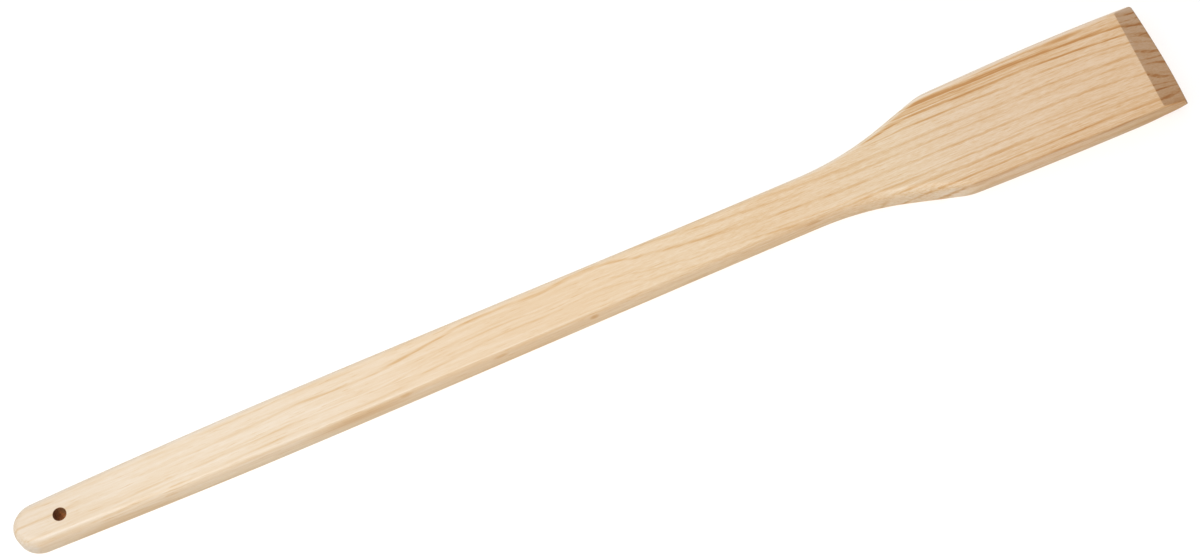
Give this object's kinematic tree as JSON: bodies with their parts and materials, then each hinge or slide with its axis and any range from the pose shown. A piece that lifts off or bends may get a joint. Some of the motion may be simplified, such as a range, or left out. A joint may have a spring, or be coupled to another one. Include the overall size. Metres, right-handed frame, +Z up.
{
  "type": "wooden stirring paddle",
  "caption": "Flat wooden stirring paddle cut from a single board, with a bellied handle, a hanging hole, sloping shoulders and a broad blade that ends in a bevel.",
  "frame": {"origin": "under the middle of the paddle's length and width, on the flat back that it lies on", "axes": "+X along the board from the handle's end to the blade's tip, +Y to the left edge, +Z up through the board and out of the bevelled face"},
  "size_m": [0.914, 0.089, 0.02],
  "materials": {
    "pine_wood": "bare, finely sanded"
  },
  "bodies": {
    "root": {"stirring_paddle": "pine_wood"}
  },
  "joints": []
}
